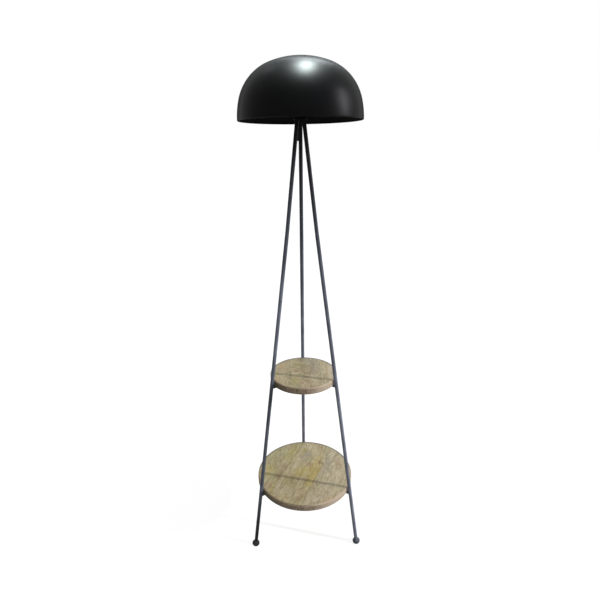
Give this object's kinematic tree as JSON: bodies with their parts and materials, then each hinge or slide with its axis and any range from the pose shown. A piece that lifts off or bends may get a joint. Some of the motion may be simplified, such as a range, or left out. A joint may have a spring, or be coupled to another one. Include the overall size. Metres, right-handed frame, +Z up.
{
  "type": "floor lamp",
  "caption": "Tripod floor lamp: a black dome shade on splayed tubular legs, with round wooden shelves carried between the legs.",
  "frame": {"origin": "point on the floor under the middle of the shade, where the lamp's upright axis meets the plane that the feet stand on", "axes": "+Z up along the lamp's axis, +Y towards the rear leg, +X to the right as seen from the front"},
  "size_m": [0.3862, 0.3959, 1.5739],
  "materials": {
    "black_paint": "satin",
    "black_plastic": "satin",
    "ceramic": "matte",
    "brass": "satin",
    "zinc": "satin",
    "dark_screw": "satin",
    "rubber": "matte",
    "wood": "satin",
    "opal": "matte",
    "white_plastic": "gloss",
    "cap_metal": "satin",
    "black_insulator": "gloss"
  },
  "bodies": {
    "stand": {"shade_dome": "black_paint", "shade_spider": "black_paint", "shade_ring": "black_plastic", "holder_cap": "black_plastic", "holder_shell": "black_plastic", "holder_insert": "ceramic", "holder_screw_shell": "brass", "holder_contact": "brass", "holder_terminals": "brass", "nipple": "zinc", "nipple_washer": "zinc", "nipple_nut": "zinc", "hub": "black_paint", "leg_left": "black_paint", "leg_right": "black_paint", "leg_rear": "black_paint", "leg_inserts": "zinc", "foot_left": "black_paint", "foot_right": "black_paint", "foot_rear": "black_paint", "cord_inlet_bush": "rubber", "upper_shelf": "wood", "lower_shelf": "wood", "upper_lugs": "black_paint", "lower_lugs": "black_paint", "upper_screws": "dark_screw", "lower_screws": "dark_screw"},
    "bulb": {"bulb_globe": "opal", "bulb_housing": "white_plastic", "bulb_cap": "cap_metal", "bulb_insulator": "black_insulator", "bulb_contact": "brass"}
  },
  "joints": [
    {"name": "bulb_screw", "type": "slide", "parent": "stand", "child": "bulb", "axis": [0, 0, 1], "range_m": [0, 0.018]}
  ]
}
